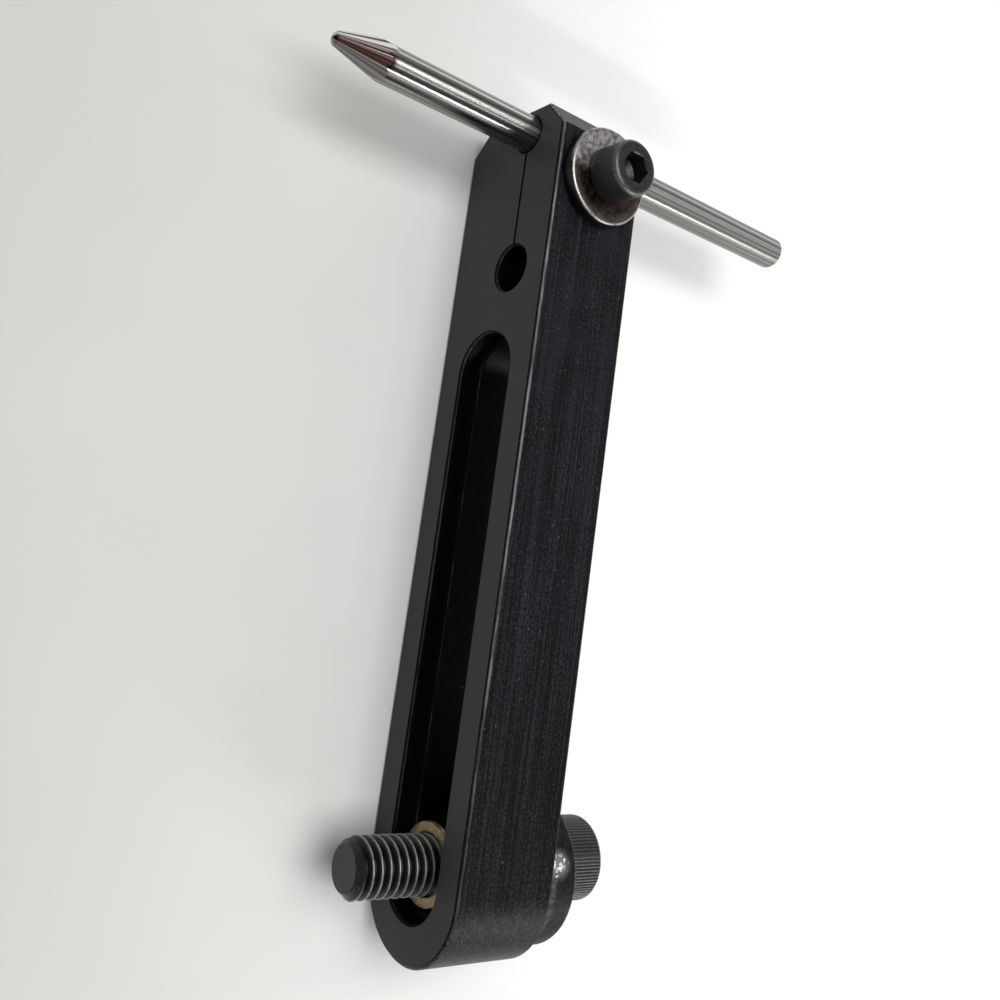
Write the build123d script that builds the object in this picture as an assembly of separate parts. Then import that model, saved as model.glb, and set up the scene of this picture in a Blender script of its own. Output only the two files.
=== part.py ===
from build123d import *
import math
import os

os.makedirs("parts", exist_ok=True)

# Split-clamp arm that holds a pointed rod, lying on one narrow side.
# Millimetres. Origin: middle of the underside the arm rests on.
# +X runs along the arm from its round end to its clamp end, +Y towards the
# rod's point and the free end of the slot bolt, +Z up towards the clamp screw.

# Arm: an inch-size bar, 1 in x 3/4 in.
arm_length = 143.5
arm_height = 25.4
arm_thickness = 19.05
corner_cut = 4.76
edge_break = 0.5
hole_edge_break = 0.3

# Distances along the arm, measured from the tip of its round end.
slot_near_end = 13.4
slot_far_end = 96.4
relief_hole_at = 114.4
clamp_screw_at = 131.6
rod_at = 138.8

# Slot: a wide shallow recess over a narrower slot that goes right through.
recess_width = 14.0
recess_depth = 3.5
slot_width = 11.1

# Split jaw.
jaw_line_height = 16.2
slit_width = 0.5
relief_hole_diameter = 8.2

# Pointed rod.
rod_diameter = 6.35
rod_bore_clearance = 0.03
rod_point_reach = 49.0
rod_tail_reach = 58.2
rod_tail_rounding = 0.7
point_facets = 6
point_facet_length = 9.5
point_facet_angle = 14.5
point_turn = 24.6
point_end_rounding = 0.55

# Clamp screw, 1/4 in socket head cap screw, with its washer.
clamp_thread_diameter = 6.35
clamp_thread_length = 19.05
clamp_head_diameter = 9.525
clamp_head_height = 6.35
clamp_head_rounding = 0.5
clamp_socket_width = 4.76
clamp_socket_depth = 3.0
clamp_clearance_hole = 6.9
clamp_tapped_hole = 6.43
clamp_hole_floor = 4.5
clamp_washer_diameter = 16.9
clamp_washer_hole = 7.1
clamp_washer_thickness = 2.4
clamp_washer_rounding = 0.7

# Slot bolt, 3/8 in socket head cap screw, with its thick spacer washer.
bolt_at = 15.2
bolt_thread_diameter = 9.525
bolt_length = 38.1
bolt_head_diameter = 14.29
bolt_head_height = 9.525
bolt_head_rounding = 0.8
bolt_socket_width = 7.94
bolt_socket_depth = 4.6
spacer_diameter = 24.7
spacer_hole = 12.2
spacer_thickness = 6.35
spacer_edge_break = 0.8
spacer_shift_x = -1.2
spacer_shift_z = -0.3

# Retaining washer on the recess floor. It grips the thread's root, which is
# drawn as a groove that the washer sits in.
retainer_diameter = 13.2
retainer_bite = 0.6
retainer_thickness = 1.2
retainer_gap = 0.03
retainer_edge_break = 0.15

# Both screws.
thread_end_chamfer = 0.16
socket_mouth_chamfer = 0.25
drill_point_angle = 118.0


def along(distance):
    """X of a point this far from the tip of the round end."""
    return distance - arm_length / 2


def across(x, y, z):
    """Plane through a point, facing +Y."""
    return Plane(origin=(x, y, z), x_dir=(1, 0, 0), z_dir=(0, 1, 0))


def arm_outline():
    """Side outline: one round end, two cut corners at the clamp end."""
    end = arm_length / 2
    round_start = along(arm_height / 2)
    lines = [
        Line((round_start, 0), (end - corner_cut, 0)),
        Line((end - corner_cut, 0), (end, corner_cut)),
        Line((end, corner_cut), (end, arm_height - corner_cut)),
        Line((end, arm_height - corner_cut), (end - corner_cut, arm_height)),
        Line((end - corner_cut, arm_height), (round_start, arm_height)),
        ThreePointArc(
            (round_start, arm_height),
            (along(0), arm_height / 2),
            (round_start, 0),
        ),
    ]
    return make_face(lines)


def stadium_cut(width, y_from, y_to):
    """Slot-shaped block between two Y levels, on the arm's centre line."""
    middle = along((slot_near_end + slot_far_end) / 2)
    outline = SlotCenterToCenter(slot_far_end - slot_near_end, width)
    return extrude(across(middle, y_from, arm_height / 2) * outline, amount=y_to - y_from)


def cross_hole(distance, height, diameter):
    """Round hole right through the arm's thickness."""
    plane = across(along(distance), 0, height)
    return extrude(plane * Circle(diameter / 2), amount=arm_thickness, both=True)


def make_arm():
    """Slotted bar with a split clamp at one end."""
    half = arm_thickness / 2
    body = extrude(Plane.XZ * arm_outline(), amount=half, both=True)
    body = chamfer(body.faces().filter_by(Axis.Y).edges(), edge_break)
    body -= stadium_cut(recess_width, half - recess_depth, half + 1)
    body -= stadium_cut(slot_width, -half - 1, half)
    body -= cross_hole(relief_hole_at, jaw_line_height, relief_hole_diameter)
    rod_bore = rod_diameter + 2 * rod_bore_clearance
    body -= cross_hole(rod_at, jaw_line_height, rod_bore)
    for face in (body.faces().sort_by(Axis.Y)[0], body.faces().sort_by(Axis.Y)[-1]):
        mouths = [edge for wire in face.inner_wires() for edge in wire.edges()]
        body = chamfer(mouths, hole_edge_break)
    slit_length = arm_length - relief_hole_at + 1
    slit_middle = along(relief_hole_at) + slit_length / 2
    slit = Box(slit_length, arm_thickness + 2, slit_width)
    body -= Pos(slit_middle, 0, jaw_line_height) * slit
    top_hole = Plane.XY.offset(jaw_line_height) * Pos(along(clamp_screw_at), 0)
    body -= extrude(top_hole * Circle(clamp_clearance_hole / 2), amount=arm_height)
    low_hole = Plane.XY.offset(clamp_hole_floor) * Pos(along(clamp_screw_at), 0)
    depth = jaw_line_height - clamp_hole_floor
    body -= extrude(low_hole * Circle(clamp_tapped_hole / 2), amount=depth)
    return body


def make_pointer_rod():
    """Ground rod with a six-sided point and a rounded tail."""
    radius = rod_diameter / 2
    blank = extrude(Circle(radius), amount=rod_point_reach + rod_tail_reach)
    tail = blank.faces().sort_by(Axis.Z)[0]
    blank = fillet(tail.edges(), rod_tail_rounding)
    top = rod_point_reach + rod_tail_reach
    tilt = math.radians(point_facet_angle)
    for facet in range(point_facets):
        turn = math.radians(point_turn + facet * 360 / point_facets)
        side = Vector(-math.sin(turn), -math.cos(turn), 0)
        start = side * radius + Vector(0, 0, top - point_facet_length)
        normal = side * math.cos(tilt) + Vector(0, 0, math.sin(tilt))
        blank = split(blank, bisect_by=Plane(origin=start, z_dir=normal), keep=Keep.BOTTOM)
    tip = blank.faces().sort_by(Axis.Z)[-1]
    blank = fillet(tip.edges(), point_end_rounding)
    return across(along(rod_at), -rod_tail_reach, jaw_line_height) * blank


def hex_socket(width, depth):
    """Hexagonal hole going down from Z = 0, with a drilled cone under it."""
    hexagon = RegularPolygon(width / 2, 6, major_radius=False)
    hole = extrude(hexagon, amount=-depth)
    drill = width / 2
    point = drill / math.tan(math.radians(drill_point_angle / 2))
    cone = Cone(0.01, drill, point, align=(Align.CENTER, Align.CENTER, Align.MAX))
    mouth = width / 2 / math.cos(math.pi / 6) + socket_mouth_chamfer
    flare = Cone(
        mouth - 2 * socket_mouth_chamfer,
        mouth,
        2 * socket_mouth_chamfer,
        align=(Align.CENTER, Align.CENTER, Align.MAX),
    )
    return hole + Pos(0, 0, -depth) * cone + flare


def cap_screw(thread, length, head, head_height, rounding, socket_width, socket_depth):
    """Socket head cap screw: seat at Z = 0, head above, thread below."""
    top = extrude(Circle(head / 2), amount=head_height)
    top = fillet(top.faces().sort_by(Axis.Z)[-1].edges(), rounding)
    shank = extrude(Circle(thread / 2), amount=-length)
    shank = chamfer(shank.faces().sort_by(Axis.Z)[0].edges(), thread * thread_end_chamfer / 2)
    socket = Pos(0, 0, head_height) * hex_socket(socket_width, socket_depth)
    return top + shank - socket


def flat_washer(outside, hole, thickness):
    """Plain ring standing on Z = 0."""
    return extrude(Circle(outside / 2) - Circle(hole / 2), amount=thickness)


def make_clamp_washer():
    """Washer under the clamp screw's head, its top rim worn round."""
    ring = flat_washer(clamp_washer_diameter, clamp_washer_hole, clamp_washer_thickness)
    rim = ring.edges().filter_by(GeomType.CIRCLE).group_by(Axis.Z)[-1].sort_by(SortBy.RADIUS)[-1]
    ring = fillet(rim, clamp_washer_rounding)
    return Pos(along(clamp_screw_at), 0, arm_height) * ring


def make_clamp_screw():
    """Screw that closes the split jaw on the rod."""
    screw = cap_screw(
        clamp_thread_diameter,
        clamp_thread_length,
        clamp_head_diameter,
        clamp_head_height,
        clamp_head_rounding,
        clamp_socket_width,
        clamp_socket_depth,
    )
    seat = arm_height + clamp_washer_thickness
    return Pos(along(clamp_screw_at), 0, seat) * screw


def make_slot_bolt():
    """Bolt through the slot, head behind the arm, thread out in front."""
    bolt = cap_screw(
        bolt_thread_diameter,
        bolt_length,
        bolt_head_diameter,
        bolt_head_height,
        bolt_head_rounding,
        bolt_socket_width,
        bolt_socket_depth,
    )
    seat = -arm_thickness / 2 - spacer_thickness
    bolt = Pos(along(bolt_at), seat, arm_height / 2) * Rot(90, 0, 0) * bolt
    groove = flat_washer(
        bolt_thread_diameter + 1,
        bolt_thread_diameter - 2 * retainer_bite,
        retainer_thickness + 2 * retainer_gap,
    )
    floor = arm_thickness / 2 - recess_depth
    return bolt - across(along(bolt_at), floor, arm_height / 2) * groove


def make_spacer_washer():
    """Thick washer between the bolt's head and the arm, hanging off centre."""
    ring = flat_washer(spacer_diameter, spacer_hole, spacer_thickness)
    ring = chamfer(ring.edges().filter_by(GeomType.CIRCLE), spacer_edge_break)
    x = along(bolt_at) + spacer_shift_x
    z = arm_height / 2 + spacer_shift_z
    return across(x, -arm_thickness / 2 - spacer_thickness, z) * ring


def make_retaining_washer():
    """Thin ring on the thread that keeps the bolt in the slot."""
    hole = bolt_thread_diameter - 2 * retainer_bite + 2 * retainer_gap
    ring = flat_washer(retainer_diameter, hole, retainer_thickness)
    ring = chamfer(ring.edges().filter_by(GeomType.CIRCLE), retainer_edge_break)
    seat = arm_thickness / 2 - recess_depth + retainer_gap
    return across(along(bolt_at), seat, arm_height / 2) * ring


makers = {
    "arm": make_arm,
    "pointer_rod": make_pointer_rod,
    "clamp_washer": make_clamp_washer,
    "clamp_screw": make_clamp_screw,
    "slot_bolt": make_slot_bolt,
    "spacer_washer": make_spacer_washer,
    "retaining_washer": make_retaining_washer,
}
for name, maker in makers.items():
    export_step(maker(), f"parts/{name}.step")
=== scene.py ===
import math
import bmesh
import bpy
import numpy as np
from mathutils import Matrix, Vector


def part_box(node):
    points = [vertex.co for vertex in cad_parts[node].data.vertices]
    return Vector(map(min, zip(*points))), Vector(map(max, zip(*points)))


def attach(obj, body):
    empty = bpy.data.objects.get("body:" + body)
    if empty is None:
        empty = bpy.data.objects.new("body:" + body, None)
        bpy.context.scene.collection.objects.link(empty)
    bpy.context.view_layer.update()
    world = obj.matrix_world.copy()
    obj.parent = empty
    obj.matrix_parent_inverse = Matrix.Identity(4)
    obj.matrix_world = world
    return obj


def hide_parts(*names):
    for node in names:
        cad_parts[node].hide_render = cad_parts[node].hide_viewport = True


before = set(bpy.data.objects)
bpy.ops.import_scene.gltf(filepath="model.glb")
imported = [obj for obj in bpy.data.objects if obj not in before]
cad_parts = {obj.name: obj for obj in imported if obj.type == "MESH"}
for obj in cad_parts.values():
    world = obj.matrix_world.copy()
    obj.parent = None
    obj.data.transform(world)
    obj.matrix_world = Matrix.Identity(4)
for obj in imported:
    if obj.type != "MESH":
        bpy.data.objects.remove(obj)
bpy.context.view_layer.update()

# Split-clamp arm with a pointed rod. The arm lies on one narrow side with its
# clamp screw on top. Pieces are built in millimetres and scaled once, in
# turned_points. The floor and the lights are in metres.
MM = 0.001
QUARTER = math.pi / 2

# Meshes: the sharpest edge that is still shaded smooth, in degrees, and the
# lengths below which points are merged and edges dropped.
smooth_degrees = 38.0
merge_distance = 0.0006
shortest_edge = 0.0003

# Camera: place, lens and sensor in millimetres, nearest visible point in metres.
camera_place = (-13.194, 108.883, 152.017)
camera_forward = (0.15027, -0.58707, -0.79547)
camera_up = (0.97896, 0.20072, 0.03679)
camera_lens = 36.74
camera_sensor = 36.0
camera_near = 0.005
camera_shift = (0.00995, -0.05876)

# Room light: how bright it is overhead and in the band near the horizon, the
# heights (as the sine of the elevation) where the band ends and is full, and
# how much it leans to the side of the bolt's head.
room_overhead = 0.07
room_band = 0.6
room_band_top = 0.62
room_band_full = 0.30
room_side = 0.8

# Lights, in metres and watts: name, place, target, width, height, power. One
# wide box overhead and six thin strips that draw lines on bare metal.
lights = (
    ("over", (0.11, 0.13, 0.9), (0, 0, 0), 0.75, 0.75, 8.0),
    ("strip_a", (0.27, -0.37, 0.80), (0.06, 0, 0), 0.06, 0.28, 0.26),
    ("strip_b", (-0.08, -0.35, 0.78), (0.06, 0, 0), 0.06, 0.28, 0.26),
    ("strip_c", (0.00, -0.74, 0.75), (0.06, 0, 0), 0.06, 0.35, 0.09),
    ("strip_d", (0.24, -0.74, 0.75), (0.06, 0, 0), 0.06, 0.35, 0.09),
    ("strip_e", (0.52, -0.74, 0.65), (0.06, 0, 0), 0.06, 0.35, 0.09),
    ("end_strip", (-0.62, -0.53, 0.42), (-0.06, 0, 0.012), 0.04, 0.5, 2.6),
)

# Floor, in metres: how far it reaches each way and how far it lies below the arm.
floor_reach = 10.0
floor_drop = 0.00005

# Slot bolt, 3/8 in with 16 threads per inch.
slot_bolt_size = {
    "thread": 9.525,
    "pitch": 1.5875,
    "length": 38.1,
    "head": 14.29,
    "head_height": 9.525,
    "rounding": 0.45,
    "socket": 7.94,
    "socket_depth": 4.6,
    "teeth": 78,
    "tooth_depth": 0.13,
    "thread_columns": 117,
    "thread_start": 0.62,
}

# Clamp screw, 1/4 in with 20 threads per inch.
clamp_screw_size = {
    "thread": 6.35,
    "pitch": 1.27,
    "length": 19.05,
    "head": 9.525,
    "head_height": 6.35,
    "rounding": 0.9,
    "socket": 4.76,
    "socket_depth": 3.0,
    "teeth": 72,
    "tooth_depth": 0.08,
    "thread_columns": 48,
    "thread_start": 0.0,
}

# One turn of a thread, from crest to root and back: places as shares of a pitch,
# and how deep the surface lies there as a share of the thread's depth.
thread_phases = (0, 0.045, 0.075, 0.22, 0.375, 0.43, 0.5, 0.57, 0.625, 0.78, 0.925, 0.955)
thread_depths = (0, 0.01, 0.05, 0.46, 0.9, 0.98, 1, 0.98, 0.9, 0.46, 0.05, 0.01)

# In pitches: the thread's depth, where it begins below the seat, and the length
# over which it deepens. Then its free end's radius, as a share of the thread's.
thread_depth = 0.6
run_out_start = 0.5
run_out_length = 1.5
thread_end_share = 0.75

# One tooth of a knurl, as places and depths, and the columns drawn for it.
knurl_phases = (0, 0.17, 0.33, 0.5, 0.67, 0.83, 1)
knurl_depths = (0, 0.05, 0.5, 1, 0.5, 0.05, 0)
columns_per_tooth = 6

# Screw heads: where the knurl ends above the seat, the bevel at the seat's rim,
# and how far the seat's inner edge stands off the thread.
knurl_end = 0.3
seat_bevel = 0.28
seat_gap = 0.8

# Pointed rod.
rod_radius = 3.175
rod_length = 107.2
rod_tail_rounding = 0.7
point_length = 9.5
point_angle = math.radians(13.2)
point_turn = math.radians(24.6)
point_nose = 1.05
columns_per_facet = 24
rod_rows = 24
facet_rows = 16
nose_rows = 6

# Directions of the point's six facets, in degrees back from point_turn, and one
# value for each: above 0 brown heat stain, below 0 bright.
facet_degrees = (8.0, 50.0, 119.0, 188.0, 257.0, 326.0)
facet_stains = (1.0, -1.0, 0.1, 0.2, 0.1, 0.45)

# Arm: half its thickness, the height of its middle line, and half the width of
# the slot that goes right through. Its material reads these.
arm_half_depth = 9.525
arm_middle_height = 12.7
through_half_width = 5.55

# Painted highlight patch, with painted glints round it, on the spacer's rim, in the spacer's own
# place.
highlight_place = (3.7, -11.8, 4.6)


# ---------------------------------------------------------------- meshes

def angles(count):
    """Angles of the columns of a turned piece, first and last the same place."""
    return np.linspace(0.0, 2 * math.pi, count + 1)


def grid_faces(bm, points, values, layer):
    """Adds a sheet of quads through rows of points, and returns its last row."""
    rows = []
    for row, row_values in zip(points, values):
        made = [bm.verts.new(p) for p in row]
        for vert, value in zip(made, row_values):
            vert[layer] = float(value)
        rows.append(made)
    for low, high in zip(rows, rows[1:]):
        for a, b, c, d in zip(low, low[1:], high[1:], high):
            bm.faces.new((a, b, c, d))
    return rows[-1]


def join_rings(bm, coarse, fine):
    """Closes the flat gap between two rings, with whole fine steps to each coarse one."""
    steps = (len(fine) - 1) // (len(coarse) - 1)
    for i, (a, b) in enumerate(zip(coarse, coarse[1:])):
        arc = fine[i * steps:(i + 1) * steps + 1]
        bm.faces.new([a, b] + arc[::-1])


def turned_points(rows, theta):
    """Points of rows given as (radius, height), each a number or one per column."""
    out = []
    for radius, height in rows:
        radius = np.broadcast_to(radius, theta.shape)
        height = np.broadcast_to(height, theta.shape)
        x = radius * np.cos(theta)
        y = radius * np.sin(theta)
        out.append(np.stack([x, y, height], axis=1) * MM)
    return out


def finish_mesh(bm, name, sharp_degrees=smooth_degrees):
    """Merges what meets, turns every face outwards and makes the object."""
    bmesh.ops.remove_doubles(bm, verts=bm.verts, dist=merge_distance * MM)
    bmesh.ops.dissolve_degenerate(bm, edges=bm.edges, dist=shortest_edge * MM)
    bmesh.ops.recalc_face_normals(bm, faces=bm.faces)
    mesh = bpy.data.meshes.new(name)
    bm.to_mesh(mesh)
    bm.free()
    mesh.polygons.foreach_set("use_smooth", [True] * len(mesh.polygons))
    mesh.set_sharp_from_angle(angle=math.radians(sharp_degrees))
    piece = bpy.data.objects.new(name, mesh)
    bpy.context.scene.collection.objects.link(piece)
    return piece


def arc_rows(centre_r, centre_z, radius, start, stop, steps):
    """Rows (radius, height) along an arc, its angles in degrees, 0 outwards and 90 up."""
    rows = []
    for i in range(steps + 1):
        a = math.radians(start + (stop - start) * i / steps)
        rows.append((centre_r + radius * math.cos(a), centre_z + radius * math.sin(a)))
    return rows


def knurl(theta, teeth):
    """How deep each column lies in a tooth gap, from 0 on a crest to 1."""
    phase = (theta * teeth / (2 * math.pi)) % 1.0
    return np.interp(phase, knurl_phases, knurl_depths)


def hexagon(theta, width):
    """Distance from the axis to the wall of a hexagonal socket."""
    turn = (theta + math.pi / 6) % (math.pi / 3) - math.pi / 6
    return width / 2 / np.cos(turn)


def head_rows(size, theta):
    """Rows of a knurled socket head, from the socket's floor to the seat."""
    radius = size["head"] / 2
    top = size["head_height"]
    rounding = size["rounding"]
    wall = hexagon(theta, size["socket"])
    floor = top - size["socket_depth"]
    drill = size["socket"] / 2
    corner = size["socket"] / 2 / math.cos(math.pi / 6)
    mouth = wall + 0.4 * (corner - wall) + 0.06
    gap = size["tooth_depth"] * knurl(theta, size["teeth"])
    rows = [(0.0, floor - drill * 0.6), (drill * 0.5, floor - drill * 0.3)]
    rows += [(drill * 0.97, floor - 0.02), (drill * 0.985, floor)]
    rows += [(wall, floor), (wall, floor + size["socket_depth"] * 0.5)]
    rows += [(wall, top - (mouth - wall) * 1.1), (mouth, top)]
    flat_end = radius - rounding
    rows += [((mouth + flat_end) / 2, top), (flat_end - 0.05, top)]
    for r, z in arc_rows(flat_end, top - rounding, rounding, 84, 0, 8):
        rows.append((np.minimum(r, radius - gap), z))
    for share in (0.75, 0.5, 0.25):
        rows.append((radius - gap, (top - rounding) * share + knurl_end * (1 - share)))
    rows.append((radius - gap, knurl_end))
    rows.append((np.minimum(radius - seat_bevel, radius - gap), 0.0))
    rows.append((size["thread"] / 2 + seat_gap, 0.0))
    return rows


def thread_radius(size, theta, height):
    """Radius of a right-hand thread at an angle and a height below the seat."""
    major = size["thread"] / 2
    pitch = size["pitch"]
    depth = thread_depth * pitch
    end = -size["length"]
    phase = ((height - end) / pitch - theta / (2 * math.pi) + size["thread_start"]) % 1.0
    share = np.interp(phase, thread_phases + (1,), thread_depths + (0,))
    run_out = np.clip((-height - run_out_start * pitch) / (run_out_length * pitch), 0, 1)
    radius = major - depth * share * run_out
    lead = major * thread_end_share + (height - end)
    return np.minimum(radius, lead)


def thread_rows(size, theta):
    """Rows of the thread, from the middle of its free end up to the seat."""
    pitch = size["pitch"]
    turns = int(size["length"] / pitch) + 3
    turn = (theta - theta[0]) / (2 * math.pi)
    rows = []
    for whole in range(turns):
        for phase in thread_phases:
            step = whole + phase + turn - 1 - size["thread_start"]
            height = -size["length"] + step * pitch
            height = np.clip(height, -size["length"], 0)
            rows.append((thread_radius(size, theta, height), height))
    end_face = thread_radius(size, theta, np.full(theta.shape, -size["length"]))
    cap = [(0.0, -size["length"] + 0.03), (end_face * 0.5, -size["length"] + 0.02)]
    cap += [(end_face * 0.9, -size["length"] + 0.005)]
    return cap + rows


def wear_on_head(size, rows, theta):
    """Bare-metal wear: high on the crests and rims of a head."""
    radius = size["head"] / 2
    top = size["head_height"]
    rim = radius - size["rounding"] * 0.3
    values = []
    for r, z in rows:
        r = np.broadcast_to(r, theta.shape)
        z = np.broadcast_to(z, theta.shape)
        side = np.clip(1 - (radius - r) / (0.5 * size["tooth_depth"]), 0, 1)
        side = side * (z < top - size["rounding"] * 0.5)
        corner = np.exp(-(((r - rim) / 0.35) ** 2)) * (z > top - size["rounding"])
        values.append(np.clip(0.2 * side + 0.4 * corner, 0, 1))
    return values


def crest_wear_and_root_shade(size, rows, theta):
    """Bare metal on the thread's crests, partly a painted highlight, above 0, and painted shade in
    its roots, below 0.
    """
    values = []
    for r, z in rows:
        depth = size["thread"] / 2 - np.broadcast_to(r, theta.shape)
        z = np.broadcast_to(z, theta.shape)
        inside = np.clip((z + size["length"]) / size["pitch"], 0, 1)
        # Painted shade deep in the thread's roots.
        root_shade = np.clip((depth - 0.15) / 0.5, 0, 1) * inside
        values.append(np.clip(1 - depth / 0.12, 0, 1) - root_shade)
    return values


def make_screw(name, size):
    """Socket head cap screw, seat at height 0, head above, thread below."""
    bm = bmesh.new()
    # The stored value: bare-metal wear, in places also a painted highlight, above 0, and painted
    # shade below 0.
    layer = bm.verts.layers.float.new("wear_and_painted_light")
    theta = angles(size["teeth"] * columns_per_tooth)
    rows = head_rows(size, theta)
    wear_and_painted_light = wear_on_head(size, rows, theta)
    seat = grid_faces(bm, turned_points(rows, theta), wear_and_painted_light, layer)
    theta = angles(size["thread_columns"])
    rows = thread_rows(size, theta)
    wear_and_painted_light = crest_wear_and_root_shade(size, rows, theta)
    neck = grid_faces(bm, turned_points(rows, theta), wear_and_painted_light, layer)
    join_rings(bm, neck, seat)
    return finish_mesh(bm, name)


def ring_piece(name, profile, columns, wobble):
    """Ring turned from a closed profile of (radius, height, wear and painted light), slightly out
    of round.
    """
    bm = bmesh.new()
    layer = bm.verts.layers.float.new("wear_and_painted_light")
    theta = angles(columns)
    waves = np.sin(3 * theta + 1.0)
    waves = waves + 0.6 * np.sin(7 * theta)
    waves = waves + 0.4 * np.sin(13 * theta + 2)
    lumps = np.abs(wobble * waves)
    rows = [(r - lumps, z) for r, z, _ in profile]
    wear_and_painted_light = [np.full(theta.shape, w) for _, _, w in profile]
    rows.append(rows[0])
    wear_and_painted_light.append(wear_and_painted_light[0])
    grid_faces(bm, turned_points(rows, theta), wear_and_painted_light, layer)
    return finish_mesh(bm, name)


def clamp_washer_profile(box_size):
    """Thick washer with a softly dished top, a rim worn and painted as a highlight, and a punched
    lower edge.
    """
    outside = box_size.x / MM / 2
    thick = box_size.z / MM
    hole = 3.55
    soft = 0.62
    points = [(hole, 0.1, 0.0), (hole, thick - 0.3, 0.0), (hole + 0.12, thick - 0.08, 0.2)]
    points += [(hole + 0.3, thick - 0.03, 0.1), (hole + 1.6, thick - 0.05, 0.0)]
    points += [(outside - 2.2, thick - 0.03, 0.0), (outside - 1.1, thick, 0.1)]
    for i, (r, z) in enumerate(arc_rows(outside - soft, thick - soft, soft, 80, 0, 8)):
        points.append((r, z, math.exp(-(((i - 2.2) / 1.6) ** 2))))
    points += [(outside, thick * 0.5, 0.0), (outside, 0.3, 0.0), (outside - 0.08, 0.1, 0.15)]
    points += [(outside - 0.25, 0.0, 0.0), (hole + 0.1, 0.0, 0.0)]
    return points


def spacer_profile(box_size):
    """Turned spacer, its rim rounded on the arm's side and cut slanting on the head's."""
    outside = box_size.x / MM / 2
    thick = box_size.y / MM
    hole = 6.1
    soft = 0.5
    softer = 1.05
    points = [(hole, 0.5, 0.0), (hole, thick - 0.5, 0.0), (hole + 0.5, thick, 0.2)]
    points += [(hole + 2.5, thick, 0.0), (outside - 2.0, thick, 0.0)]
    for r, z in arc_rows(outside - soft, thick - soft, soft, 90, 0, 6):
        points.append((r, z, 0.55))
    points += [(outside, thick * 0.66, 0.0), (outside, thick * 0.33, 0.0)]
    # Third values: 1 marks the worn edge of the slanting cut, -1 the painted shade in the cut next
    # to the head.
    points += [(outside, softer + 0.2, 0.0), (outside - 0.05, softer, 1.0)]
    points += [(outside - 0.45, softer * 0.76, 0.0), (outside - 0.6, softer * 0.67, -1.0)]
    cut = outside - 1.65 * softer
    points += [(cut, 0.04, -1.0), (cut - 0.15, 0.0, -1.0)]
    points += [(hole + 2.5, 0.0, 0.0), (hole + 0.5, 0.0, 0.2)]
    return points


def retainer_profile(box_size):
    """Thin soft-metal ring, its hole just clear of the thread's crests."""
    outside = box_size.x / MM / 2
    thick = box_size.y / MM
    hole = 4.85
    soft = 0.2
    points = [(hole, soft, 0.2), (hole, thick - soft, 0.3), (hole + soft, thick, 0.5)]
    points += [(outside - soft, thick, 0.5), (outside - 0.05, thick - 0.07, 0.8)]
    points += [(outside, thick - soft, 0.6)]
    points += [(outside, soft, 0.2), (outside - soft, 0.0, 0.2), (hole + soft, 0.0, 0.0)]
    return points


def facet_turns():
    """Directions of the point's facets round the rod's own axis."""
    turns = []
    for degrees in facet_degrees:
        turn = point_turn - math.radians(degrees)
        turns.append(math.atan2(-math.cos(turn), -math.sin(turn)))
    return turns


def facet_columns():
    """Angles of the rod's columns, as many on each facet, and their angle off its middle."""
    middles = sorted(facet_turns())
    edges = [(a + b) / 2 for a, b in zip(middles, middles[1:] + [middles[0] + 2 * math.pi])]
    starts = [edges[-1] - 2 * math.pi] + edges[:-1]
    theta, off = [], []
    for middle, start, stop in zip(middles, starts, edges):
        part = np.linspace(start, stop, columns_per_facet + 1)[:-1]
        theta.append(part)
        off.append(part - middle)
    theta.append([edges[-1]])
    off.append([edges[-1] - middles[-1]])
    return np.concatenate(theta), np.concatenate(off)


def make_rod(name):
    """Ground rod: rounded tail, six flat facets and a small round nose."""
    bm = bmesh.new()
    stain = bm.verts.layers.float.new("stain")
    theta, off = facet_columns()
    slope = math.tan(point_angle)
    shoulder = rod_length - point_length
    rows = [(0.0, 0.0), (rod_radius - rod_tail_rounding - 0.6, 0.0)]
    tail = rod_tail_rounding
    rows += arc_rows(rod_radius - tail, tail, tail, -90, 0, 6)
    rows += [(rod_radius, h) for h in np.linspace(3.0, shoulder - 1.0, rod_rows)]
    start = shoulder + rod_radius * (1 - np.cos(off)) / slope
    nose = rod_length - point_nose
    for share in np.linspace(0.0, 1.0, facet_rows):
        height = start + (nose - start) * share
        rows.append(((rod_radius - (height - shoulder) * slope) / np.cos(off), height))
    last = rod_radius - (nose - shoulder) * slope
    for step in range(1, nose_rows + 1):
        a = QUARTER * step / nose_rows
        round_share = min(1.0, step / 4)
        shape = last * ((1 - round_share) / np.cos(off) + round_share * 1.03)
        rows.append((shape * math.cos(a), nose + point_nose * math.sin(a)))
    values = facet_values(theta, rows, shoulder)
    grid_faces(bm, turned_points(rows, theta), values, stain)
    return finish_mesh(bm, name, 12.0)


def facet_values(theta, rows, shoulder):
    """The stain of the facet that each column lies on, none on the round rod."""
    centres = facet_turns()
    column = []
    for a in theta:
        gaps = [abs((a - c + math.pi) % (2 * math.pi) - math.pi) for c in centres]
        column.append(facet_stains[int(np.argmin(gaps))])
    column = np.array(column)
    return [column * (np.broadcast_to(h, theta.shape) > shoulder - 0.6) for _, h in rows]


# ---------------------------------------------------------------- materials

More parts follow.
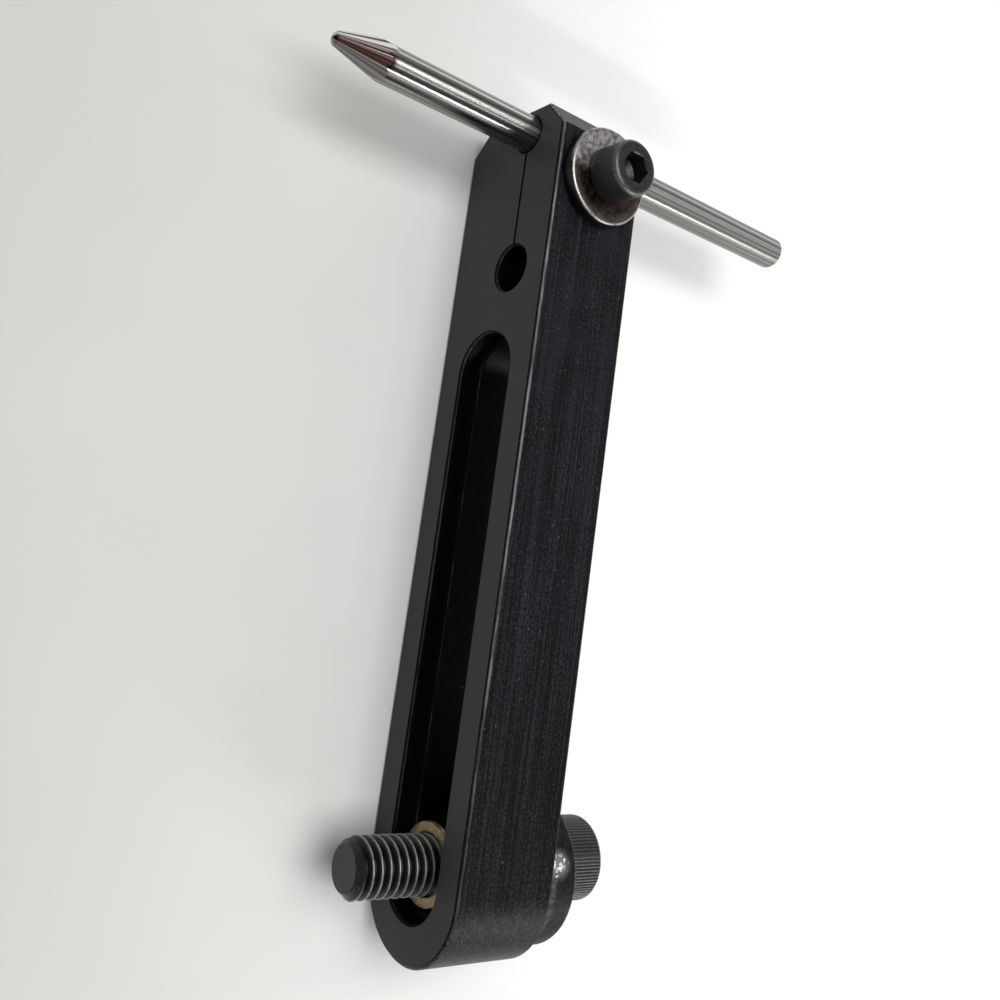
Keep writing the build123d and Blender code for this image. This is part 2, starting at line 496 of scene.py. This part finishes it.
class Look:
    """A node material with short calls for the nodes used here."""

    def __init__(self, name):
        self.material = bpy.data.materials.new(name)
        self.material.use_nodes = True
        self.tree = self.material.node_tree
        self.tree.nodes.clear()
        self.surface = self.node("ShaderNodeBsdfPrincipled")
        output = self.node("ShaderNodeOutputMaterial")
        self.tree.links.new(self.surface.outputs[0], output.inputs["Surface"])
        self.where = self.node("ShaderNodeTexCoord")
        self.place = self.scaled(1 / MM, 1 / MM, 1 / MM, self.where.outputs["Object"])

    def node(self, kind):
        """A new node of a kind."""
        return self.tree.nodes.new(kind)

    def put(self, value, socket):
        """Links a socket, or sets a plain value."""
        if isinstance(value, bpy.types.NodeSocket):
            self.tree.links.new(value, socket)
        else:
            socket.default_value = value

    def scaled(self, x, y, z, source=None):
        """The place in millimetres, stretched along each axis."""
        made = self.node("ShaderNodeVectorMath")
        made.operation = "MULTIPLY"
        self.put(source or self.place, made.inputs[0])
        made.inputs[1].default_value = (x, y, z)
        return made.outputs[0]

    def split(self, source):
        """The three parts of a vector."""
        made = self.node("ShaderNodeSeparateXYZ")
        self.put(source, made.inputs[0])
        return made.outputs

    def math(self, operation, a, b=0.0):
        """One step of arithmetic."""
        made = self.node("ShaderNodeMath")
        made.operation = operation
        self.put(a, made.inputs[0])
        self.put(b, made.inputs[1])
        return made.outputs[0]

    def times(self, a, b):
        """The product of two values."""
        return self.math("MULTIPLY", a, b)

    def plus(self, a, b):
        """The sum of two values."""
        return self.math("ADD", a, b)

    def noise(self, vector, scale=1.0, detail=3.0, roughness=0.55):
        """Soft random value, 0 to 1, its scale in features a millimetre."""
        made = self.node("ShaderNodeTexNoise")
        self.put(vector, made.inputs["Vector"])
        made.inputs["Scale"].default_value = scale
        made.inputs["Detail"].default_value = detail
        made.inputs["Roughness"].default_value = roughness
        return made.outputs["Fac"]

    def cells(self, vector, scale):
        """Distance from the nearest of randomly strewn points."""
        made = self.node("ShaderNodeTexVoronoi")
        self.put(vector, made.inputs["Vector"])
        made.inputs["Scale"].default_value = scale
        return made.outputs["Distance"]

    def ramp(self, value, low, high, start=0.0, stop=1.0):
        """Moves the range low..high to start..stop, with a soft ease."""
        made = self.node("ShaderNodeMapRange")
        made.interpolation_type = "SMOOTHSTEP"
        for socket, number in zip(made.inputs, (value, low, high, start, stop)):
            self.put(number, socket)
        return made.outputs[0]

    def blend(self, share, a, b):
        """The colour a, or b where share is 1."""
        made = self.node("ShaderNodeMix")
        made.data_type = "RGBA"
        self.put(share, made.inputs[0])
        self.put(a, made.inputs[6])
        self.put(b, made.inputs[7])
        return made.outputs[2]

    def fade(self, share, a, b):
        """The number a, or b where share is 1."""
        made = self.node("ShaderNodeMix")
        made.data_type = "FLOAT"
        self.put(share, made.inputs[0])
        self.put(a, made.inputs[2])
        self.put(b, made.inputs[3])
        return made.outputs[0]

    def attribute(self, name):
        """A value stored on the mesh."""
        made = self.node("ShaderNodeAttribute")
        made.attribute_name = name
        return made.outputs["Fac"]

    def bump(self, height, distance_mm, strength, normal=None):
        """Fine relief, on top of another where one is given."""
        made = self.node("ShaderNodeBump")
        made.inputs["Strength"].default_value = strength
        made.inputs["Distance"].default_value = distance_mm * MM
        self.put(height, made.inputs["Height"])
        if normal is not None:
            self.put(normal, made.inputs["Normal"])
        return made.outputs[0]

    def set(self, **sockets):
        """Sets or links the shader's own sockets."""
        for name, value in sockets.items():
            self.put(value, self.surface.inputs[name.replace("_", " ")])


def tone(red, green, blue):
    """An opaque colour."""
    return (red, green, blue, 1.0)


def black_anodised():
    """Anodised bar: streaked and speckled sides with painted glints, finely milled wide faces,
    painted shade in the slot, and worn bevels painted as highlight lines with a painted shade line
    outside.
    """
    look = Look("black_anodised")
    facing = look.split(look.where.outputs["Normal"])
    across = look.math("ABSOLUTE", facing[1])
    milled = look.ramp(across, 0.88, 0.98)
    streak = look.noise(look.scaled(0.03, 3.2, 3.2), 1.0, 3.0, 0.6)
    speck = look.noise(look.place, 2.2, 3.0, 0.7)
    cloud = look.noise(look.place, 0.12, 2.0)
    fine = look.noise(look.place, 9.0, 2.0, 0.6)
    place = look.split(look.place)

    # Narrow sides: lengthwise streaks, a violet cloud, lighter specks and painted glints.
    grain = look.plus(look.times(streak, 0.5), look.times(speck, 0.5))
    grain = look.ramp(grain, 0.465, 0.59)
    along = look.ramp(place[0], -50.0, 60.0)
    side = look.blend(grain, tone(0.0002, 0.0002, 0.0004), tone(0.0180, 0.0190, 0.0235))
    cloud = look.times(look.ramp(cloud, 0.35, 0.7, 0.0, 0.6), along)
    side = look.blend(cloud, side, tone(0.010, 0.0095, 0.018))
    # Painted glints: small pale specks that stand in for sparkle.
    painted_glint = look.ramp(look.noise(look.place, 2.0, 2.0, 0.8), 0.65, 0.74)
    side = look.blend(painted_glint, side, tone(0.08, 0.08, 0.085))

    # Wide faces, with painted shade on the recess's floor and its inner rim rubbed, and painted
    # shade on the slot's walls. Depth is measured in from the wide faces, and off is the height
    # off the middle line.
    fine_share = look.ramp(fine, 0.3, 0.7)
    face = look.blend(fine_share, tone(0.0435, 0.0445, 0.044), tone(0.0495, 0.0505, 0.050))
    depth = look.math("SUBTRACT", arm_half_depth, look.math("ABSOLUTE", place[1]))
    off = look.math("ABSOLUTE", look.math("SUBTRACT", place[2], arm_middle_height))
    shaded_hollow = look.times(look.ramp(off, 9.6, 9.0), look.ramp(place[0], -66.5, -66.0))
    shaded_hollow = look.times(shaded_hollow, look.ramp(place[0], 66.0, 65.5))
    shaded_ledge = look.times(shaded_hollow, look.ramp(depth, 0.6, 1.2))
    # Painted shade on the recess's floor.
    face = look.blend(shaded_ledge, face, tone(0.004, 0.004, 0.004))
    rub = look.noise(look.scaled(0.15, 2.0, 2.0), 1.0, 4.0, 0.7)
    rim = look.math("ABSOLUTE", look.math("SUBTRACT", off, through_half_width))
    rim = look.times(look.ramp(rim, 0.28, 0.1), shaded_ledge)
    rim = look.times(rim, look.ramp(rub, 0.45, 0.65, 0.1, 0.9))
    face = look.blend(rim, face, tone(0.10, 0.10, 0.105))
    # Painted shade on the slot's walls.
    side = look.blend(look.times(shaded_hollow, 0.85), side, tone(0.0003, 0.0003, 0.0004))
    colour = look.blend(milled, side, face)

    # Bevels: rubbed bare in patches, lighter away from the slot end and painted as a highlight
    # line, with a painted shade line outside.
    line = look.times(look.ramp(depth, 0.2, 0.32), look.ramp(depth, 0.62, 0.45))
    bevel = look.times(line, look.ramp(across, 0.93, 0.8))
    bevel = look.times(bevel, look.ramp(shaded_hollow, 0.0, 1.0, 1.0, 0.35))
    rub_and_highlight = look.ramp(place[0], -55.0, -5.0, 0.3, 1.0)
    rub_and_highlight = look.times(rub_and_highlight, look.ramp(rub, 0.38, 0.66, 0.2, 1.0))
    colour = look.blend(look.times(bevel, rub_and_highlight), colour, tone(0.26, 0.26, 0.265))
    # Painted shade: a dark line along the bevels' outer edge.
    edge_shade_line = look.times(look.ramp(depth, 0.14, 0.08), look.ramp(across, 0.93, 0.8))
    colour = look.blend(edge_shade_line, colour, tone(0.002, 0.002, 0.002))

    # Small pale nicks, a few to each patch.
    nick = look.ramp(look.cells(look.place, 0.55), 0.13, 0.05)
    spot = look.times(nick, look.ramp(look.noise(look.place, 0.3), 0.6, 0.66))
    colour = look.blend(look.times(spot, 0.5), colour, tone(0.2, 0.2, 0.2))

    rough = look.ramp(grain, 0.0, 1.0, 0.38, 0.31)
    rough = look.plus(rough, look.times(milled, 0.1))
    relief = look.bump(streak, 0.02, 0.5)
    relief = look.bump(speck, 0.15, 0.6, relief)
    relief = look.blend(milled, relief, look.bump(fine, 0.004, 0.5))
    look.set(Base_Color=colour, Roughness=rough, IOR=1.5, Normal=relief, Specular_IOR_Level=0.10)
    return look.material


def ground_steel():
    """Centreless-ground rod steel with painted lengthwise reflection lines and a heat-stained
    point.
    """
    look = Look("ground_steel")
    place = look.split(look.place)
    radius = look.plus(look.times(place[0], place[0]), look.times(place[1], place[1]))
    radius = look.math("SQRT", radius)
    turn = look.node("ShaderNodeCombineXYZ")
    look.put(look.math("DIVIDE", place[0], radius), turn.inputs[0])
    look.put(look.math("DIVIDE", place[1], radius), turn.inputs[1])
    look.put(look.times(place[2], 0.0006), turn.inputs[2])
    turn = turn.outputs[0]
    lengthwise = look.split(look.where.outputs["Normal"])[2]
    end = look.ramp(look.math("ABSOLUTE", lengthwise), 0.7, 0.9)
    # Painted reflection: light and dark lines along the rod, set by the angle round its axis; they
    # also stripe the point's facets and are even on the round ends.
    reflection_lines = look.fade(end, look.noise(turn, 5.5, 1.0, 0.6), 0.5)
    hair = look.fade(end, look.noise(turn, 10.0, 0.0, 0.5), look.noise(look.place, 1.2, 3.0))
    fleck = look.noise(look.scaled(3.0, 3.0, 0.25), 1.0, 3.0, 0.7)
    colour_share = look.ramp(reflection_lines, 0.38, 0.62)
    colour = look.blend(colour_share, tone(0.22, 0.215, 0.205), tone(0.70, 0.69, 0.67))
    colour = look.blend(look.ramp(hair, 0.5, 0.65, 0.0, 0.6), colour, tone(0.2, 0.19, 0.18))
    colour = look.blend(look.ramp(fleck, 0.64, 0.74, 0.0, 0.25), colour, tone(0.12, 0.11, 0.10))
    stain = look.attribute("stain")
    dark_share = look.ramp(reflection_lines, 0.42, 0.6)
    dark = look.blend(dark_share, tone(0.010, 0.006, 0.005), tone(0.042, 0.024, 0.020))
    dark = look.blend(look.ramp(hair, 0.60, 0.68), dark, tone(0.30, 0.26, 0.24))
    colour = look.blend(look.ramp(stain, 0.0, 1.0), colour, dark)
    pale_share = look.ramp(reflection_lines, 0.47, 0.53)
    pale = look.blend(pale_share, tone(0.95, 0.94, 0.93), tone(0.16, 0.15, 0.14))
    colour = look.blend(look.ramp(stain, 0.0, -1.0), colour, pale)
    matt = look.ramp(place[2], 54.0, 44.0)
    colour = look.blend(look.times(matt, 0.3), colour, tone(0.10, 0.10, 0.095))
    rough = look.plus(look.ramp(hair, 0.3, 0.7, 0.20, 0.30), look.times(matt, 0.15))
    relief = look.bump(reflection_lines, 0.14, 0.6)
    look.set(Base_Color=colour, Roughness=rough, Metallic=1.0, Normal=relief)
    return look.material


def worn_steel():
    """Washer steel: silver on its +X side, partly rubbed metal and partly a painted highlight,
    straw and brown oil stain elsewhere, the side wall painted dark as shade.
    """
    look = Look("worn_steel")
    patch = look.noise(look.place, 0.16, 3.0, 0.6)
    mottle = look.noise(look.place, 1.1, 4.0, 0.7)
    fine = look.noise(look.place, 4.0, 3.0, 0.7)
    shine = look.noise(look.place, 0.9, 4.0, 0.7)
    silver_share = look.ramp(shine, 0.35, 0.65)
    silver = look.blend(silver_share, tone(0.13, 0.12, 0.125), tone(0.52, 0.49, 0.50))
    brown_share = look.ramp(mottle, 0.35, 0.65)
    brown = look.blend(brown_share, tone(0.012, 0.009, 0.006), tone(0.045, 0.031, 0.021))
    rust = look.ramp(look.noise(look.place, 0.45, 3.0, 0.6), 0.5, 0.64)
    brown = look.blend(rust, brown, tone(0.050, 0.024, 0.016))
    # Painted shade: the side wall, where the normal leans away from up, is painted dark.
    side = look.ramp(look.split(look.where.outputs["Normal"])[2], 0.15, 0.6)
    place = look.split(look.place)
    # Painted highlight: the silver leans to the +X side and a little to +Y.
    highlight_lean = look.plus(look.times(place[0], 0.06), look.times(place[1], 0.02))
    share = look.ramp(look.plus(look.times(patch, 0.6), highlight_lean), 0.42, 0.58)
    colour = look.blend(share, brown, silver)
    colour = look.blend(side, tone(0.03, 0.026, 0.024), colour)
    # Rim worn bright, kept off the +X side, where it is also a painted highlight.
    wear_and_painted_light = look.times(look.attribute("wear_and_painted_light"), look.ramp(mottle, 0.3, 0.5, 0.3, 1.0))
    wear_and_painted_light = look.times(wear_and_painted_light, look.ramp(place[0], 6.5, 2.5, 0.0, 0.9))
    colour = look.blend(wear_and_painted_light, colour, tone(0.55, 0.53, 0.52))
    rough = look.ramp(mottle, 0.3, 0.7, 0.28, 0.45)
    relief = look.bump(mottle, 0.03, 0.4)
    relief = look.bump(fine, 0.01, 0.5, relief)
    look.set(Base_Color=colour, Roughness=rough, Metallic=0.9, Normal=relief)
    return look.material


def black_oxide():
    """Blackened alloy steel, lighter where crests and rims have rubbed, partly a painted highlight
    on the thread's crests, with painted shade in the thread's roots.
    """
    look = Look("black_oxide")
    mottle = look.noise(look.place, 1.4, 3.0, 0.6)
    fine = look.noise(look.place, 7.0, 2.0, 0.6)
    grain = look.noise(look.place, 3.2, 4.0, 0.75)
    colour_share = look.ramp(grain, 0.38, 0.62)
    colour = look.blend(colour_share, tone(0.009, 0.009, 0.0095), tone(0.040, 0.040, 0.039))
    worn_and_shaded = look.attribute("wear_and_painted_light")
    wear_and_painted_light = look.times(look.ramp(worn_and_shaded, 0.0, 1.0), look.ramp(mottle, 0.25, 0.6, 0.45, 1.0))
    colour = look.blend(look.times(wear_and_painted_light, 0.8), colour, tone(0.42, 0.42, 0.41))
    # Painted shade: near black where the value is below 0, in the thread's roots.
    colour = look.blend(look.ramp(worn_and_shaded, 0.0, -1.0), colour, tone(0.004, 0.004, 0.004))
    rough = look.ramp(fine, 0.3, 0.7, 0.3, 0.42)
    relief = look.bump(fine, 0.008, 0.5)
    look.set(Base_Color=colour, Roughness=rough, Metallic=0.55, Normal=relief)
    return look.material


def black_oxide_rough():
    """Blackened spacer with coarse turned skin, worn rims, painted shade in the slanting cut by
    the head, and a painted highlight patch with painted glints on its rim.
    """
    look = Look("black_oxide_rough")
    mottle = look.noise(look.place, 0.9, 4.0, 0.7)
    fine = look.noise(look.place, 5.0, 3.0, 0.7)
    colour_share = look.ramp(mottle, 0.38, 0.62)
    colour = look.blend(colour_share, tone(0.003, 0.003, 0.0035), tone(0.013, 0.013, 0.0135))
    worn_and_shaded = look.attribute("wear_and_painted_light")
    wear_and_painted_light = look.times(look.ramp(worn_and_shaded, 0.0, 1.0), look.ramp(mottle, 0.4, 0.6, 0.3, 1.0))
    colour = look.blend(look.times(wear_and_painted_light, 0.7), colour, tone(0.26, 0.255, 0.25))
    # Painted shade: near black where the value is below 0, in the slanting cut next to the head.
    colour = look.blend(look.ramp(worn_and_shaded, 0.0, -1.0), colour, tone(0.003, 0.003, 0.003))
    gap = look.node("ShaderNodeVectorMath")
    gap.operation = "DISTANCE"
    look.put(look.place, gap.inputs[0])
    gap.inputs[1].default_value = highlight_place
    # Painted highlight: a soft pale glow round one place on the rim.
    highlight_glow = look.ramp(gap.outputs["Value"], 3.0, 0.6)
    colour = look.blend(look.times(highlight_glow, 0.35), colour, tone(0.45, 0.45, 0.44))
    # Painted glints: pale specks, most of them near that place.
    glint_specks = look.plus(look.noise(look.place, 1.5, 4.0, 0.7), look.times(highlight_glow, 0.2))
    colour = look.blend(look.ramp(glint_specks, 0.67, 0.75), colour, tone(0.8, 0.79, 0.77))
    relief = look.bump(mottle, 0.05, 0.5)
    relief = look.bump(fine, 0.015, 0.5, relief)
    look.set(Base_Color=colour, Roughness=0.5, Metallic=0.1, Normal=relief, Specular_IOR_Level=0.1)
    return look.material


def bronze():
    """Dull bronze with small pits."""
    look = Look("bronze")
    mottle = look.noise(look.place, 1.5, 3.0, 0.6)
    pits = look.noise(look.place, 5.5, 3.0, 0.7)
    colour_share = look.ramp(mottle, 0.3, 0.7)
    colour = look.blend(colour_share, tone(0.22, 0.165, 0.09), tone(0.36, 0.285, 0.17))
    colour = look.blend(look.ramp(pits, 0.62, 0.72), colour, tone(0.09, 0.06, 0.035))
    relief = look.bump(pits, 0.02, 0.6)
    look.set(Base_Color=colour, Roughness=0.45, Metallic=0.85, Normal=relief)
    return look.material


def pale_floor():
    """Plain matt pale surface, painted greyer towards the arm's slot side as a falloff of the
    light.
    """
    look = Look("pale_floor")
    soft = look.noise(look.place, 0.02, 2.0)
    # Painted light falloff: the floor is painted greyer towards +Y, away from the brighter light.
    side = look.ramp(look.split(look.place)[1], -90.0, 110.0, 1.0, 0.0)
    pale_share = look.ramp(soft, 0.3, 0.7)
    pale = look.blend(pale_share, tone(0.935, 0.935, 0.925), tone(0.945, 0.945, 0.935))
    grey_share = look.ramp(soft, 0.3, 0.7)
    painted_shade_grey = look.blend(grey_share, tone(0.535, 0.54, 0.515), tone(0.555, 0.56, 0.53))
    look.set(Base_Color=look.blend(side, painted_shade_grey, pale), Roughness=0.8)
    return look.material


# ---------------------------------------------------------------- assembly

def size_of(node):
    """Size of a CAD node's box, in metres."""
    low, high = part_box(node)
    return high - low


def middle_of(node):
    """Middle of a CAD node's box, in metres."""
    low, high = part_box(node)
    return (low + high) / 2


def settle(piece, node, body, slot, looks, place, turn):
    """Puts a new piece where its CAD node is, in its slot's material, and lets it ride."""
    piece.data.materials.append(looks[slot])
    piece.matrix_world = Matrix.Translation(place) @ turn
    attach(piece, body)
    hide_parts(node)


# The piece's own +Z turned to face -Y, and to face +Y.
FACING_BACK = Matrix.Rotation(QUARTER, 4, "X")
FACING_FRONT = Matrix.Rotation(-QUARTER, 4, "X")
UPRIGHT = Matrix.Identity(4)


def place_pieces(looks):
    """Every piece of the object in its material."""
    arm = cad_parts["arm"]
    for material_slot in arm.material_slots:
        material_slot.material = looks["black_anodised"]

    middle, low = middle_of("pointer_rod"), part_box("pointer_rod")[0]
    rod = make_rod("pointer_rod_ground")
    place = Vector((middle.x, low.y, middle.z))
    settle(rod, "pointer_rod", "pointer_rod", "ground_steel", looks, place, FACING_FRONT)

    middle, low = middle_of("clamp_washer"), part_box("clamp_washer")[0]
    profile = clamp_washer_profile(size_of("clamp_washer"))
    washer = ring_piece("clamp_washer_worn", profile, columns=128, wobble=0.02)
    place = Vector((middle.x, middle.y, low.z))
    settle(washer, "clamp_washer", "clamp_washer", "worn_steel", looks, place, UPRIGHT)

    middle, high = middle_of("clamp_screw"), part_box("clamp_screw")[1]
    screw = make_screw("clamp_screw_knurled", clamp_screw_size)
    seat = high.z - clamp_screw_size["head_height"] * MM
    place = Vector((middle.x, middle.y, seat))
    settle(screw, "clamp_screw", "clamp_screw", "black_oxide", looks, place, UPRIGHT)

    middle, low = middle_of("slot_bolt"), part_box("slot_bolt")[0]
    bolt = make_screw("slot_bolt_knurled", slot_bolt_size)
    seat = low.y + slot_bolt_size["head_height"] * MM
    place = Vector((middle.x, seat, middle.z))
    settle(bolt, "slot_bolt", "slot_bolt", "black_oxide", looks, place, FACING_BACK)

    middle, low = middle_of("spacer_washer"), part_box("spacer_washer")[0]
    profile = spacer_profile(size_of("spacer_washer"))
    spacer = ring_piece("spacer_washer_turned", profile, columns=160, wobble=0.01)
    place = Vector((middle.x, low.y, middle.z))
    settle(spacer, "spacer_washer", "spacer_washer", "black_oxide_rough",
           looks, place, FACING_FRONT)

    middle, low = middle_of("retaining_washer"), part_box("retaining_washer")[0]
    profile = retainer_profile(size_of("retaining_washer"))
    retainer = ring_piece("retaining_washer_bronze", profile, columns=96, wobble=0.02)
    place = Vector((middle.x, low.y, middle.z))
    settle(retainer, "retaining_washer", "slot_bolt", "bronze", looks, place, FACING_FRONT)


def place_floor(material):
    """A wide plain floor just under the object."""
    reach = floor_reach
    bm = bmesh.new()
    corners = [(-reach, -reach), (reach, -reach), (reach, reach), (-reach, reach)]
    bm.faces.new([bm.verts.new((x, y, -floor_drop)) for x, y in corners])
    mesh = bpy.data.meshes.new("floor")
    bm.to_mesh(mesh)
    bm.free()
    floor = bpy.data.objects.new("floor", mesh)
    floor.data.materials.append(material)
    bpy.context.scene.collection.objects.link(floor)


def place_light(name, place, target, width, height, power):
    """A rectangular area light that faces a point, its height along Y."""
    data = bpy.data.lights.new(name, "AREA")
    data.shape = "RECTANGLE"
    data.size = width
    data.size_y = height
    data.energy = power
    light = bpy.data.objects.new(name, data)
    light.location = place
    back = (Vector(place) - Vector(target)).normalized()
    right = Vector((0.0, 1.0, 0.0)).cross(back).normalized()
    turn = Matrix((right, back.cross(right), back)).transposed()
    light.rotation_mode = "QUATERNION"
    light.rotation_quaternion = turn.to_quaternion()
    bpy.context.scene.collection.objects.link(light)


def set_range(node, numbers):
    """From low, from high, to low and to high of a Map Range node."""
    for socket, number in zip(list(node.inputs)[1:5], numbers):
        socket.default_value = number


def set_world():
    """Grey room: a bright band low down, brighter on one side, dark overhead."""
    world = bpy.data.worlds.new("studio")
    world.use_nodes = True
    tree = world.node_tree
    where = tree.nodes.new("ShaderNodeTexCoord")
    split = tree.nodes.new("ShaderNodeSeparateXYZ")
    fade = tree.nodes.new("ShaderNodeMapRange")
    fade.interpolation_type = "SMOOTHSTEP"
    side = tree.nodes.new("ShaderNodeMapRange")
    lit = tree.nodes.new("ShaderNodeMath")
    lit.operation = "MULTIPLY"
    total = tree.nodes.new("ShaderNodeMath")
    total.operation = "ADD"
    tree.links.new(where.outputs["Generated"], split.inputs[0])
    tree.links.new(split.outputs[2], fade.inputs[0])
    set_range(fade, (room_band_top, room_band_full, 0.0, room_band))
    tree.links.new(split.outputs[1], side.inputs[0])
    set_range(side, (-1.0, 1.0, 1.0 + room_side, 1.0 - room_side))
    tree.links.new(fade.outputs[0], lit.inputs[0])
    tree.links.new(side.outputs[0], lit.inputs[1])
    tree.links.new(lit.outputs[0], total.inputs[0])
    total.inputs[1].default_value = room_overhead
    background = tree.nodes["Background"]
    background.inputs["Color"].default_value = tone(1.0, 1.0, 1.0)
    tree.links.new(total.outputs[0], background.inputs["Strength"])
    bpy.context.scene.world = world


def place_camera():
    """The camera at the photograph's viewing angle."""
    data = bpy.data.cameras.new("camera")
    data.lens = camera_lens
    data.sensor_width = camera_sensor
    data.shift_x, data.shift_y = camera_shift
    data.clip_start = camera_near
    camera = bpy.data.objects.new("camera", data)
    forward = Vector(camera_forward).normalized()
    up = Vector(camera_up)
    up = (up - forward * up.dot(forward)).normalized()
    right = forward.cross(up)
    turn = Matrix((right, up, -forward)).transposed().to_4x4()
    camera.matrix_world = Matrix.Translation(Vector(camera_place) * MM) @ turn
    bpy.context.scene.collection.objects.link(camera)
    bpy.context.scene.camera = camera


def main():
    """Camera, object, floor and light, in that order."""
    place_camera()
    makers = (black_anodised, ground_steel, worn_steel, black_oxide, black_oxide_rough, bronze)
    place_pieces({maker.__name__: maker() for maker in makers})
    place_floor(pale_floor())
    for light in lights:
        place_light(*light)
    set_world()
    bpy.context.scene.view_settings.view_transform = "Standard"


main()
